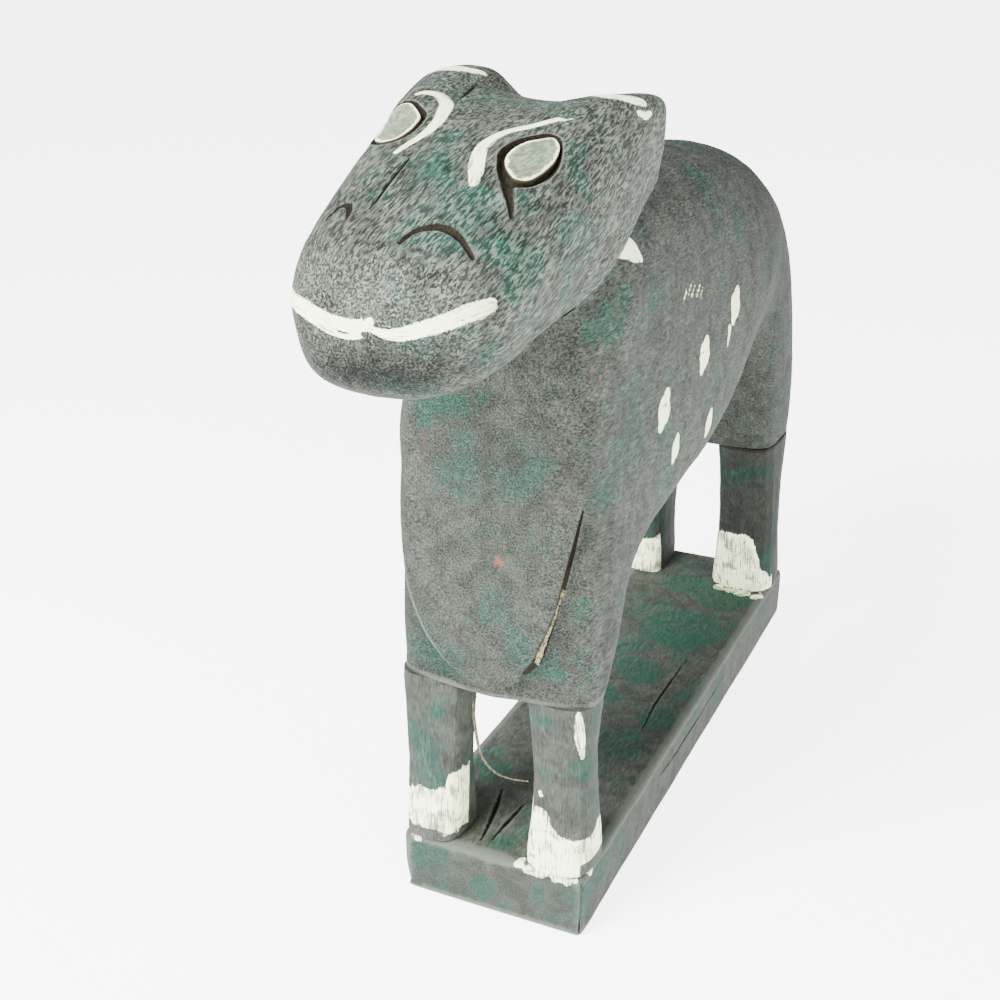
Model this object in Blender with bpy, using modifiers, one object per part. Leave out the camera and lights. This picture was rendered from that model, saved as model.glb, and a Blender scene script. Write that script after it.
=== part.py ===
"""Carved wooden animal figure on a plinth, glued and dowelled together from separate blocks.

The figure faces -Y and stands on the XY plane, +Z up, in metres. The origin is the centre of the
plinth's underside. Left and right are the animal's own: its left side is at +X.
Run it with: blender --background --python part.py
"""

import math

import bmesh
import bpy
from mathutils import Matrix, Vector

# Driving dimensions, in metres
STOCK_WIDTH = 0.080
PLINTH_LENGTH = 0.311
PLINTH_HEIGHT = 0.0285
PLINTH_ARRIS = 0.0022
GLUE_LINE = 0.0003

FRONT_JOINT_HEIGHT = 0.105
HIND_JOINT_HEIGHT = 0.114
NECK_JOINT_POINT = (-0.002, -0.142, 0.267)
NECK_JOINT_SLOPE = math.radians(30)

DOWEL_SIDES = 20
DOWEL_END_GAP = 0.001
LEG_DOWEL_RADIUS = 0.0035
LEG_DOWEL_LENGTH = 0.030
FOOT_DOWEL_LENGTH = 0.026
NECK_DOWEL_RADIUS = 0.005
NECK_DOWEL_LENGTH = 0.032
NECK_DOWEL_SPREAD = 0.014
LEG_AXES = {
    "front_left": (0.027, -0.144),
    "front_right": (-0.028, -0.144),
    "hind_left": (0.024, 0.138),
    "hind_right": (-0.031, 0.138),
}

EYE_HALF_LENGTH = 0.0092
EYE_HALF_WIDTH = 0.0070
EYE_THICKNESS = 0.0060
EYE_GAP = 0.0010
LEFT_EYE = ((0.0235, -0.1755, 0.3085), (0.27, -0.36, 0.89))
RIGHT_EYE = ((-0.0300, -0.1605, 0.3142), (-0.30, -0.33, 0.89))

CRACK_FOOT = (0.0215, -0.1594, 0.1260)
CRACK_HEAD = (0.0310, -0.1582, 0.1580)
FILLER_WIDTH = 0.0022
FILLER_DEPTH = 0.0070
CRACK_REACH = 0.0060

MM = 0.001

# Cross-sections across Y, in millimetres: (y, [(z, x low, x high), ...] from underside to top).
# A fourth number is the height at x low, where it differs from the height at x high.
TORSO_SECTIONS = [
    (-166, [(130, 8, 17), (144, -12, 23), (166, -24, 28), (198, -26, 31), (226, -21, 30), (250, -12, 22)]),
    (-162, [(114, 6, 22), (134, -21, 29), (164, -32, 34), (200, -34, 38), (232, -28, 37), (264, -18, 26)]),
    (-157, [(88, -38, 38), (106, -41, 41), (150, -40, 41), (200, -38, 42), (240, -31, 40), (280, -24, 31)]),
    (-139, [(86, -40, 40), (104, -42, 42), (150, -42, 42), (200, -40, 42), (246, -34, 41), (292, -26, 34)]),
    (-127, [(106, -38, 38), (122, -41, 42), (155, -42, 42), (203, -41, 42), (252, -37, 42), (295, -28, 36)]),
    (-112, [(143, -36, 36), (152, -41, 41), (175, -42, 42), (210, -42, 42), (258, -40, 42), (294, -28, 34)]),
    (-78, [(151, -36, 36), (158, -41, 41), (180, -42, 42), (225, -42, 42), (268, -38, 39), (290, -20, 23)]),
    (-30, [(155, -36, 36), (162, -41, 41), (186, -42, 42), (230, -42, 42), (270, -36, 37), (291, -17, 19)]),
    (15, [(160, -36, 36), (170, -41, 41), (192, -42, 42), (232, -42, 42), (269, -35, 35), (289, -17, 17)]),
    (55, [(178, -33, 33), (190, -40, 40), (206, -42, 42), (236, -41, 42), (266, -34, 34), (284, -16, 16)]),
    (84, [(186, -28, 28), (195, -34, 34), (212, -40, 40), (238, -40, 41), (262, -33, 33), (276, -15, 15)]),
    (100, [(168, -28, 28), (180, -34, 34), (205, -37, 38), (234, -39, 40), (255, -31, 31), (267, -14, 14)]),
    (115, [(100, -34, 34), (118, -37, 37), (188, -38, 38), (228, -38, 39), (249, -30, 30), (260, -13, 13)]),
    (134, [(94, -35, 35), (112, -38, 38), (182, -38, 38), (215, -36, 37), (234, -26, 26), (243, -11, 11)]),
    (153, [(94, -35, 35), (112, -38, 38), (174, -37, 37), (200, -32, 32), (217, -21, 21), (225, -9, 9)]),
    (166, [(96, -31, 31), (114, -35, 35), (164, -32, 32), (188, -23, 23), (200, -14, 14), (206, -6, 6)]),
]
HEAD_SECTIONS = [
    (-93, [
        (276, -31, 28), (290, -38, 36), (306, -42, 39), (315, -44, 40, 320),
        (320, -42, 38, 326), (320, -24, 27, 327), (317, -20, 18, 318), (316, -8, 8),
    ]),
    (-96, [
        (274, -34, 30), (288, -40, 38), (306, -45, 41), (316, -47, 42, 321),
        (322, -46, 41, 329), (322, -22, 28, 330), (318, -19, 18, 319), (317, -8, 8),
    ]),
    (-118, [
        (265, -36, 32), (284, -41, 38), (304, -45, 42), (317, -47, 43, 320),
        (324, -45, 41, 329), (324, -24, 28, 329), (322, -19, 17, 322), (320, -8, 8),
    ]),
    (-140, [
        (252, -36, 34), (274, -41, 40), (298, -43, 42), (313, -43, 41),
        (323, -40, 36, 325), (325, -28, 26), (323, -19, 17), (321, -8, 8),
    ]),
    (-165, [
        (251, -33, 27), (266, -39, 35), (289, -41, 41), (304, -40, 39),
        (313, -37, 34), (316, -28, 25), (317, -19, 15), (317, -10, 6),
    ]),
    (-190, [
        (243, -32, 20), (257, -38, 32), (279, -40, 39), (293, -39, 37),
        (302, -36, 33), (307, -28, 23), (308, -20, 13), (308, -12, 4),
    ]),
    (-211, [
        (239, -28, 13), (251, -37, 27), (270, -40, 35), (281, -39, 34),
        (290, -35, 30), (296, -27, 20), (298, -19, 10), (298, -13, 2),
    ]),
    (-226, [
        (244, -23, 6), (253, -32, 20), (268, -35, 29), (277, -33, 27),
        (283, -30, 23), (288, -25, 15), (290, -19, 7), (290, -13, 0),
    ]),
    (-233, [
        (253, -15, 1), (259, -22, 11), (268, -24, 17), (273, -25, 15),
        (277, -22, 12), (280, -18, 7), (282, -14, 3), (282, -11, -1),
    ]),
]

# Cross-sections across Z, in millimetres: (z, x low, x high, y low, y high)
FRONT_LEFT_LEG = [
    (18, 11, 42, -158, -124),
    (34, 13, 41, -157, -127),
    (56, 16, 40, -156, -131),
    (80, 15, 39, -156, -133),
    (100, 13, 41, -157, -131),
    (122, 12, 42, -157, -128),
]
FRONT_RIGHT_LEG = [
    (18, -42, -15, -158, -124),
    (34, -41, -16, -157, -127),
    (56, -40, -15, -156, -131),
    (80, -40, -14, -156, -133),
    (100, -41, -12, -157, -131),
    (122, -42, -11, -157, -128),
]
HIND_LEFT_LEG = [
    (18, 5, 42, 114, 157),
    (34, 6, 41, 118, 155),
    (58, 7, 39, 122, 153),
    (90, 6, 38, 120, 157),
    (112, 5, 38, 114, 164),
    (136, 4, 38, 110, 166),
]
HIND_RIGHT_LEG = [
    (18, -42, -20, 114, 157),
    (34, -41, -22, 119, 155),
    (58, -40, -23, 122, 153),
    (90, -39, -22, 120, 157),
    (112, -38, -19, 114, 164),
    (136, -38, -17, 110, 166),
]
# Down the tail, which is carved in relief on the rump, in millimetres: (y, z, radius)
TAIL_STATIONS = [(136, 236, 6), (150, 226, 7.5), (162, 206, 7.5), (167, 186, 7), (167, 166, 6), (164, 155, 3)]

DRAB_GREEN = (0.13, 0.18, 0.155)
PALE_GREEN = (0.42, 0.50, 0.40)
BARE_WOOD = (0.45, 0.32, 0.19)
PALE_FILLER = (0.50, 0.45, 0.32)


def clear_scene():
    for obj in list(bpy.data.objects):
        bpy.data.objects.remove(obj)


def new_collection(name):
    collection = bpy.data.collections.new(name)
    bpy.context.scene.collection.children.link(collection)
    return collection


def material(name, colour, roughness):
    made = bpy.data.materials.new(name)
    made.use_nodes = True
    shader = made.node_tree.nodes["Principled BSDF"]
    shader.inputs["Base Color"].default_value = (*colour, 1)
    shader.inputs["Roughness"].default_value = roughness
    shader.inputs["Metallic"].default_value = 0
    return made


def mesh_object(name, bm, collection):
    bm.normal_update()
    bmesh.ops.recalc_face_normals(bm, faces=bm.faces)
    mesh = bpy.data.meshes.new(name)
    bm.to_mesh(mesh)
    bm.free()
    obj = bpy.data.objects.new(name, mesh)
    collection.objects.link(obj)
    return obj


def rounded_cage(name, rings, levels, collection):
    """A rounded solid from a coarse cage of rings of points, in millimetres."""
    bm = bmesh.new()
    loops = [[bm.verts.new(Vector(point) * MM) for point in ring] for ring in rings]
    for lower, upper in zip(loops, loops[1:]):
        for i, j in zip(range(len(lower)), [*range(1, len(lower)), 0]):
            bm.faces.new((lower[i], lower[j], upper[j], upper[i]))
    bm.faces.new(loops[0])
    bm.faces.new(loops[-1])
    obj = mesh_object(name, bm, collection)
    modifier = obj.modifiers.new("Rounding", "SUBSURF")
    modifier.levels = levels
    modifier.render_levels = levels
    return obj


def body_form(name, sections, collection):
    """A form through upright sections, up its left side and down its right."""
    rings = []
    for y, rows in sections:
        up = [(row[2], y, row[0]) for row in rows]
        down = [(row[1], y, row[3] if len(row) > 3 else row[0]) for row in reversed(rows)]
        rings.append(up + down)
    return rounded_cage(name, rings, 2, collection)


def leg_form(name, sections, collection):
    """A column through level sections, each a rectangle with its corners taken off."""
    rings = []
    for z, x0, x1, y0, y1 in sections:
        c = 0.2 * min(x1 - x0, y1 - y0)
        front = [(x0 + c, y0, z), (x1 - c, y0, z)]
        left = [(x1, y0 + c, z), (x1, y1 - c, z)]
        back = [(x1 - c, y1, z), (x0 + c, y1, z)]
        right = [(x0, y1 - c, z), (x0, y0 + c, z)]
        rings.append(front + left + back + right)
    return rounded_cage(name, rings, 1, collection)


def tail_form(name, collection):
    """A tapering rod down the rump, of eight-sided rings square to its line."""
    across = Vector((1, 0, 0))
    rings = []
    for i, (y, z, radius) in enumerate(TAIL_STATIONS):
        before = TAIL_STATIONS[max(i - 1, 0)]
        after = TAIL_STATIONS[min(i + 1, len(TAIL_STATIONS) - 1)]
        out = Vector((0, after[0] - before[0], after[1] - before[1])).normalized().cross(across)
        centre = Vector((0, y, z))
        turns = [math.pi * k / 4 for k in range(8)]
        rings.append([centre + radius * (across * math.cos(t) + out * math.sin(t)) for t in turns])
    return rounded_cage(name, rings, 1, collection)


def block(name, low, high, collection):
    """A box between two corners, in metres."""
    bm = bmesh.new()
    low, high = Vector(low), Vector(high)
    place = Matrix.Translation((low + high) / 2) @ Matrix.Diagonal((*(high - low), 1))
    bmesh.ops.create_cube(bm, size=1, matrix=place)
    return mesh_object(name, bm, collection)


def plinth_form(collection):
    half = Vector((STOCK_WIDTH / 2, PLINTH_LENGTH / 2, 0))
    obj = block("plinth", -half, half + Vector((0, 0, PLINTH_HEIGHT)), collection)
    bevel = obj.modifiers.new("Arris", "BEVEL")
    bevel.width = PLINTH_ARRIS
    bevel.segments = 2
    return obj


def round_pin(name, centre, tilt, radius, length, collection):
    """A solid cylinder about centre, upright and then tilted back about X."""
    bpy.ops.mesh.primitive_cylinder_add(
        vertices=DOWEL_SIDES, radius=radius, depth=length, location=centre, rotation=(tilt, 0, 0)
    )
    obj = bpy.context.active_object
    obj.name = name
    obj.data.shade_smooth()
    obj.data.set_sharp_from_angle(angle=math.radians(40))
    for old in list(obj.users_collection):
        old.objects.unlink(obj)
    collection.objects.link(obj)
    return obj


def oval_plug(name, place, grow, collection):
    """An upright oval cylinder with its long axis down the face and its top along the normal."""
    centre, normal = Vector(place[0]), Vector(place[1]).normalized()
    along = Vector((0, -1, 0))
    along = (along - along.dot(normal) * normal).normalized()
    across = normal.cross(along)
    axes = Matrix((along, across, normal)).transposed().to_4x4()
    half = (EYE_HALF_LENGTH + grow, EYE_HALF_WIDTH + grow, EYE_THICKNESS / 2 + GLUE_LINE * bool(grow))
    bm = bmesh.new()
    bmesh.ops.create_cone(bm, segments=28, radius1=1, radius2=1, depth=2, cap_ends=True)
    bm.transform(Matrix.Translation(centre) @ axes @ Matrix.Diagonal((*half, 1)))
    return mesh_object(name, bm, collection)


def filler_strip(name, grow, reach, collection):
    """A flat sliver along the crack beside the breast, reaching further out of it by reach."""
    foot, head = Vector(CRACK_FOOT), Vector(CRACK_HEAD)
    along = (head - foot).normalized()
    into = Vector((-0.25, 0.97, 0))
    into = (into - into.dot(along) * along).normalized()
    side = into.cross(along)
    half = Vector((FILLER_WIDTH, FILLER_DEPTH + reach, (head - foot).length)) / 2 + Vector((grow,) * 3)
    axes = Matrix((side, into, along)).transposed().to_4x4()
    bm = bmesh.new()
    bmesh.ops.create_cube(bm, size=2)
    middle = (foot + head) / 2 - into * reach / 2
    bm.transform(Matrix.Translation(middle) @ axes @ Matrix.Diagonal((*half, 1)))
    return mesh_object(name, bm, collection)


def as_cutter(obj):
    obj.hide_render = True
    obj.display_type = "WIRE"
    return obj


def boolean(obj, other, operation):
    modifier = obj.modifiers.new(operation.title() + "_" + other.name, "BOOLEAN")
    modifier.operation = operation
    modifier.object = other


def cut(obj, *cutters):
    for cutter in cutters:
        boolean(obj, cutter, "DIFFERENCE")


def saw_block(name, z_low, z_high, y_low, y_high, collection):
    return as_cutter(block(name, (-0.06, y_low, z_low), (0.06, y_high, z_high), collection))


def neck_saw(name, up, collection):
    """A block on one side of the sloping neck joint, half a glue line clear of it."""
    size = 0.2
    obj = block(name, (-size / 2, -size / 2, 0), (size / 2, size / 2, size), collection)
    facing = 0 if up else math.pi
    lift = Vector((0, 0, GLUE_LINE / 2 * (-1 if up else 1)))
    turn = Matrix.Rotation(NECK_JOINT_SLOPE, 4, "X")
    obj.data.transform(Matrix.Rotation(facing, 4, "X"))
    obj.data.transform(Matrix.Translation(NECK_JOINT_POINT) @ turn @ Matrix.Translation(lift))
    return as_cutter(obj)


def dowelled(name, centre, tilt, radius, length, pieces, figure, cutters):
    """A dowel, with the blind hole that it sits in cut from the pieces on both sides of the joint."""
    pin = round_pin(name, centre, tilt, radius, length, figure)
    room = length + 2 * DOWEL_END_GAP
    hole = as_cutter(round_pin(name + "_hole", centre, tilt, radius + GLUE_LINE, room, cutters))
    for piece in pieces:
        cut(piece, hole)
    return pin


def let_in_eye(name, place, head, figure, cutters):
    eye = oval_plug(name, place, 0, figure)
    bevel = eye.modifiers.new("Softened_Edge", "BEVEL")
    bevel.width = 0.0012
    bevel.segments = 2
    bevel.limit_method = "ANGLE"
    cut(head, as_cutter(oval_plug(name + "_socket", place, EYE_GAP, cutters)))
    return eye


def assign(objects, finish):
    for obj in objects:
        obj.data.materials.clear()
        obj.data.materials.append(finish)


def main():
    clear_scene()
    figure = new_collection("Carved_Animal_Figure")
    cutters = new_collection("Cutters")

    plinth = plinth_form(figure)
    torso = body_form("torso", TORSO_SECTIONS, figure)
    head = body_form("head", HEAD_SECTIONS, figure)
    legs = {
        "front_left": leg_form("front_left_leg", FRONT_LEFT_LEG, figure),
        "front_right": leg_form("front_right_leg", FRONT_RIGHT_LEG, figure),
        "hind_left": leg_form("hind_left_leg", HIND_LEFT_LEG, figure),
        "hind_right": leg_form("hind_right_leg", HIND_RIGHT_LEG, figure),
    }

    # The tail stands out of the rump in the same wood
    boolean(torso, as_cutter(tail_form("tail_relief", cutters)), "UNION")

    # Every glued joint is a flat saw cut
    top = PLINTH_HEIGHT + GLUE_LINE
    front, hind = FRONT_JOINT_HEIGHT, HIND_JOINT_HEIGHT
    cut(torso, saw_block("under_shoulders", 0, front, -0.2, -0.1, cutters))
    cut(torso, saw_block("under_haunches", 0, hind, 0.09, 0.2, cutters))
    above_front = saw_block("above_front_legs", front - GLUE_LINE, 0.2, -0.2, -0.1, cutters)
    above_hind = saw_block("above_hind_legs", hind - GLUE_LINE, 0.2, 0.09, 0.2, cutters)
    below_feet = saw_block("below_feet", -0.01, top, -0.2, 0.2, cutters)
    for place, leg in legs.items():
        cut(leg, above_front if place.startswith("front") else above_hind, below_feet)
    cut(torso, neck_saw("above_neck", True, cutters))
    cut(head, neck_saw("below_head", False, cutters))

    # Hidden dowels cross the joints
    dowels = []
    for side, sign in (("left", 1), ("right", -1)):
        middle = Vector(NECK_JOINT_POINT) + Vector((sign * NECK_DOWEL_SPREAD, 0, 0))
        size = (NECK_JOINT_SLOPE, NECK_DOWEL_RADIUS, NECK_DOWEL_LENGTH)
        dowels.append(dowelled("neck_dowel_" + side, middle, *size, [head, torso], figure, cutters))
    for place, (x, y) in LEG_AXES.items():
        leg = legs[place]
        height = front if place.startswith("front") else hind
        size = (0, LEG_DOWEL_RADIUS, LEG_DOWEL_LENGTH)
        dowels.append(dowelled(place + "_leg_dowel", (x, y, height), *size, [leg, torso], figure, cutters))
        size = (0, LEG_DOWEL_RADIUS, FOOT_DOWEL_LENGTH)
        foot = (x, y, PLINTH_HEIGHT)
        dowels.append(dowelled(place + "_foot_dowel", foot, *size, [leg, plinth], figure, cutters))

    eyes = [
        let_in_eye("left_eye", LEFT_EYE, head, figure, cutters),
        let_in_eye("right_eye", RIGHT_EYE, head, figure, cutters),
    ]

    filler = filler_strip("crack_filler", 0, 0, figure)
    cut(torso, as_cutter(filler_strip("crack_groove", GLUE_LINE, CRACK_REACH, cutters)))

    painted = material("painted_wood", DRAB_GREEN, 0.7)
    pale = material("pale_painted_wood", PALE_GREEN, 0.65)
    bare = material("bare_dowel_wood", BARE_WOOD, 0.8)
    putty = material("pale_filler", PALE_FILLER, 0.85)
    assign([plinth, torso, head, *legs.values()], painted)
    assign(eyes, pale)
    assign(dowels, bare)
    assign([filler], putty)


main()
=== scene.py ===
"""Carved and painted wooden animal on its plinth, in a plain pale studio."""

import math

import bmesh
import bpy
import numpy as np
from mathutils import Matrix, Vector
from mathutils.bvhtree import BVHTree


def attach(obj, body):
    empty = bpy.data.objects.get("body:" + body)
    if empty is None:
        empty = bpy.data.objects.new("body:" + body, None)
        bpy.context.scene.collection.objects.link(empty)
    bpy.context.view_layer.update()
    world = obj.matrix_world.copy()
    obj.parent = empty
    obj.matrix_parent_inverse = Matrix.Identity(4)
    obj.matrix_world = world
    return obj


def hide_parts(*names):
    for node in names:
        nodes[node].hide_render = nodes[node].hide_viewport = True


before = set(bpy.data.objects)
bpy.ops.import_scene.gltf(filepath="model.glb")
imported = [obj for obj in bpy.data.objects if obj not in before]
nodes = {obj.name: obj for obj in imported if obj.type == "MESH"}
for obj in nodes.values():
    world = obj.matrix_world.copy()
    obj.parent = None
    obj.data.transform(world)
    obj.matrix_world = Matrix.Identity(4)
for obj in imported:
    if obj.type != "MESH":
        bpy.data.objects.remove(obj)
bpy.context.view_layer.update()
MM = 0.001

FRONT_JOINT = 105.0
HIND_JOINT = 114.0
NECK_POINT = np.array((-2.0, -142.0, 267.0))
NECK_NORMAL = np.array((0.0, -0.5, 0.8660254))

# In millimetres: where a skin is first cut short of its joints, and how far it then runs on past them
SKIN_SETBACK = 0.4
SKIN_OVERRUN = 14
CREAM_THICKNESS = 0.22
# The chest is the part of the torso in front of this y
CHEST_BACK = -140
EYE_RINGS = 22


def leaf_spot(x, y, z, half, length):
    """A slanting dab of the brush, as a stroke's points: thin at its foot and blunt at its head."""
    profile = ((-0.5, 0.45), (-0.225, 0.9), (0, 1.0), (0.225, 0.97), (0.45, 0.6))
    return [(x, y + 0.575 * k * length, z + k * length, w * half) for k, w in profile]


# Brush strokes: points along the middle of each as (x, y, z, half width), in millimetres
HEAD_STROKES = [
    [
        (-36, -222, 273.5, 2.7), (-29.2, -228.6, 272.4, 2.8), (-25.6, -230.5, 271.8, 3.0),
        (-19.4, -231.8, 269.8, 3.2), (-13.6, -232.3, 268.1, 3.4), (-8.1, -232.5, 267.8, 3.4),
        (-3.3, -232.6, 269, 2.8), (-1.2, -232.6, 271, 1.4),
    ],
    [
        (-1.4, -232.5, 268, 1.4), (5.1, -232.3, 267.9, 2.2), (10.8, -231.8, 268.8, 2.4),
        (16.8, -230.7, 270.5, 2.5), (21.6, -228.8, 272.5, 2.7), (25.7, -225.4, 274.2, 2.8),
        (28.8, -221.4, 275.2, 2.7), (30.6, -218.3, 275.7, 2.3),
    ],
    [
        (14, -194.6, 305.2, 1.6), (12.5, -190.6, 307.1, 2.3), (10.6, -185.7, 309.2, 2.5),
        (8.6, -179.7, 311.5, 2.4), (8, -174.4, 313.4, 2.3), (9, -169.3, 315, 2.0),
        (11.4, -165.1, 316.3, 1.9), (14.5, -162.4, 317.1, 1.6), (18.4, -159.6, 318, 1.4),
        (21.5, -156.8, 318.7, 1.3), (24.1, -154.4, 319.4, 1.2), (26.4, -153.6, 319.2, 0.5),
        (28.5, -152, 319.5, 0.3),
    ],
    [
        (-19.2, -182.4, 310.4, 1.1), (-18, -179.3, 311.6, 1.4), (-16.9, -175.9, 312.9, 1.5),
        (-15.1, -169.5, 315, 1.9), (-15.1, -161.4, 317.3, 2.2), (-16.8, -153.3, 319.3, 2.4),
        (-19, -147.5, 320.8, 2.5), (-23, -142.5, 322.5, 2.2), (-26.5, -141, 323.4, 1.7),
        (-30.5, -141.6, 323.5, 1.4), (-32.5, -143.1, 322.8, 0.8),
    ],
    [
        (-43, -119, 325, 2.1), (-39, -115, 328, 3.6), (-33, -113, 328.6, 4.2), (-28, -112, 328, 3.3),
        (-24, -109, 327, 1.8),
    ],
    [
        (21, -119, 323, 1.3), (26, -123, 324, 3.2), (31, -126, 324, 4.3), (36, -124, 323, 3.5),
        (39.5, -119, 321.5, 2.0),
    ],
    [(40.5, -125.3, 318.9, 1.0), (41.4, -121, 317.6, 1.6), (41.7, -116.8, 317.8, 0.9)],
]
# Slits in the paint where the bristles parted
HEAD_BARE = [
    [(-13.7, -232.3, 266.9, 0.3), (-10.6, -232.4, 266.4, 0.5), (-7.6, -232.4, 266.2, 0.3)],
    [(-4.8, -232.5, 266.9, 0.5), (-1.8, -232.5, 266.4, 1.0), (2.6, -232.2, 265.4, 0.4)],
    [
        (0.4, -232.5, 269.1, 0.2), (4.8, -232.3, 269.6, 0.5), (9.6, -231.9, 270.5, 0.45),
        (14.2, -231.3, 271.8, 0.2),
    ],
    [(18.2, -230.3, 270.3, 0.5), (20.1, -229.6, 270.6, 0.4)],
    [(22.8, -227.9, 273.4, 0.3), (24.7, -226.6, 272.9, 0.5), (26, -225.4, 272.9, 0.3)],
    [(12.5, -181, 311, 0.2), (10.5, -176, 312.8, 0.3), (11.2, -170.5, 314.6, 0.25), (15, -165, 316.2, 0.2)],
]
TORSO_STROKES = [
    [(34.6, -132.5, 271.6, 0.8), (35.6, -122, 273, 4), (36.6, -112, 270, 4.6), (38.2, -107.5, 266.5, 2)],
    leaf_spot(41.7, 8.5, 220.8, 7.2, 9.8),
    [(41.8, 0, 212.5, 2.5), (41.9, -2.5, 205.5, 0.7)],
    leaf_spot(41.8, -36.0, 210.7, 6.4, 9.8),
    leaf_spot(41.9, -87.0, 203.0, 6.9, 10.2),
    leaf_spot(41.4, -22.0, 176.4, 4.8, 8.1),
    leaf_spot(41.8, -69.0, 181.0, 5.4, 6.9),
    [(40.5, -64, 240.8, 0.8), (40.2, -60, 243.4, 0.9)],
    [(40.3, -57.5, 241.4, 0.7), (40, -53.5, 244.4, 0.8)],
    [(40.4, -53.4, 239.6, 0.9), (40.2, -48.5, 243, 0.8)],
    [(40.5, -46.5, 238.4, 0.8), (40.3, -42, 241.6, 0.9)],
    [(40.5, -41.5, 237, 0.6), (40.5, -38.5, 239.6, 0.7)],
]
TORSO_BARE = [
    [(35.6, -124, 272, 0.2), (36.8, -115, 270.6, 0.4), (37.3, -111, 269, 0.2)],
    [(41.9, -92, 206, 0.3), (41.9, -82, 204.6, 0.4)],
    [(41.8, -42, 213, 0.3), (41.8, -31, 211.5, 0.4)],
]
# Gouged lines: (depth, points along the bottom as (x, y, z, half width)), in millimetres
HEAD_GOUGES = [
    (2.2, [
        (21.5, -188.5, 306.3, 2.2), (24.2, -192.8, 303.8, 1.9), (26.6, -196, 301, 1.4),
        (28.6, -199.6, 297.6, 0.8),
    ]),
    (2.0, [
        (3.5, -222, 291.5, 1.0), (5, -217.5, 294, 1.6), (8, -214.8, 295, 2.1), (12, -213.3, 295.5, 2.1),
        (16, -213.4, 294.5, 2), (20, -214.7, 292, 1.5), (24, -217, 288.5, 0.9),
    ]),
    (1.6, [
        (-27, -213, 294, 0.8), (-25.6, -208.2, 297, 1.5), (-22.5, -207.5, 298, 1.6),
        (-20, -211, 297, 1.3), (-18.5, -215, 295, 0.7),
    ]),
    (2.0, [
        (-13.6, -210, 298, 0.5), (-13.4, -203.5, 301, 0.9), (-13.2, -191, 307, 0.6),
        (-13.3, -180, 311, 0.4),
    ]),
    (1.1, [
        (-13.6, -172, 313.5, 0.4), (-15.4, -156, 318, 0.6), (-18, -140, 321.3, 0.6),
        (-20.5, -122, 324.5, 0.7), (-22, -113, 326, 0.6),
    ]),
]
CHEST_CRACK = [
    (38.2, -160, 189, 0.5), (36.5, -161, 178, 1.0), (33.8, -162, 165, 1.2), (30, -162, 150, 1.3),
    (26.2, -162.3, 137, 1.9), (21.8, -162.5, 126, 1.8), (14, -162, 115.5, 1.2), (8, -161, 110.5, 0.6),
]
BIB_EDGE = [
    (-26, -164, 225), (-30, -163, 205), (-33, -161.5, 185), (-34, -161, 165), (-32.5, -160.5, 150),
    (-29, -160.4, 138), (-23, -160.6, 126), (-16, -160.4, 116.5), (-8, -160.3, 110.7), (2, -160.6, 107.5),
]

# Patches of greener paint: (centre, radius), in millimetres
HEAD_GREENS = [
    ((31, -205, 288), 7), ((34, -199, 283), 7), ((33, -208, 279), 5), ((27, -211, 288), 4),
    ((6, -229.5, 250), 5), ((12, -226, 247), 4), ((-14, -204, 301), 5), ((-2, -188, 308), 6),
    ((4, -194, 305), 5), ((16, -197, 303), 5), ((29, -192, 300), 5), ((36, -165, 300), 5),
    ((24, -150, 319), 5), ((10, -140, 321), 5), ((26, -214, 262), 6), ((-20, -196, 304), 4),
    ((38, -184, 290), 4),
]
TORSO_GREENS = [
    ((-16, -165, 222), 6), ((-6, -165, 222), 5), ((-22, -163, 216), 5), ((2, -165, 226), 4),
    ((39, -140, 252), 9), ((36, -152, 250), 5), ((40, -128, 257), 6), ((27, -161, 124), 6),
    ((20, -161, 119), 4), ((-24, -160, 118), 5), ((36, -150, 122), 5), ((36, -156, 150), 4),
    ((20, 60, 284), 14), ((8, 30, 288), 11), ((38, 90, 225), 11), ((38, 20, 255), 9),
    ((36, -100, 250), 8), ((-36, -158, 190), 6), ((40, -145, 190), 6), ((-30, -160, 130), 4),
]
LEG_GREENS = [
    ((38, -150, 78), 8), ((38, -146, 98), 6), ((22.6, -155.4, 73.6), 2.2), ((-36, -154, 78), 7),
    ((-22, -155, 90), 4),
]
LEG_STROKES = [
    [(36.6, -155.2, 104, 1.2), (36.9, -154.1, 94.7, 2.2), (37.6, -152.3, 84, 1.0)],
    [(21.4, -155.1, 65, 1.1), (21.6, -155.1, 64.2, 1.1)],
]
# Specks of an older orange coat: (centre, radius), in millimetres
TORSO_SPECKS = [
    ((39.2, -155.1, 238.2), 2.0), ((40, -150.5, 233.5), 1.4), ((8, -166, 166), 2.6),
    ((11, -166, 172), 1.6),
]
PLINTH_GREENS = [
    ((20, 105, 28.5), 16), ((-5, 112, 28.5), 12), ((10, 60, 28.5), 22), ((-10, -20, 28.5), 14),
    ((5, 10, 28.5), 12), ((2, -146, 28.5), 6), ((28, -30, 28.5), 10), ((40, 30, 16), 9),
    ((-4, -155, 12), 6), ((-24, -100, 28.5), 8),
]
# Swellings of the muzzle and the nostrils: (centre, (radius x, y, z), height), in millimetres
HEAD_SWELLS = [
    ((-2, -224, 284), (24, 12, 13), 1.2), ((13, -222, 289), (9, 8, 7), 0.8),
    ((-22, -218, 291), (7, 7, 6), 0.6),
]
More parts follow.
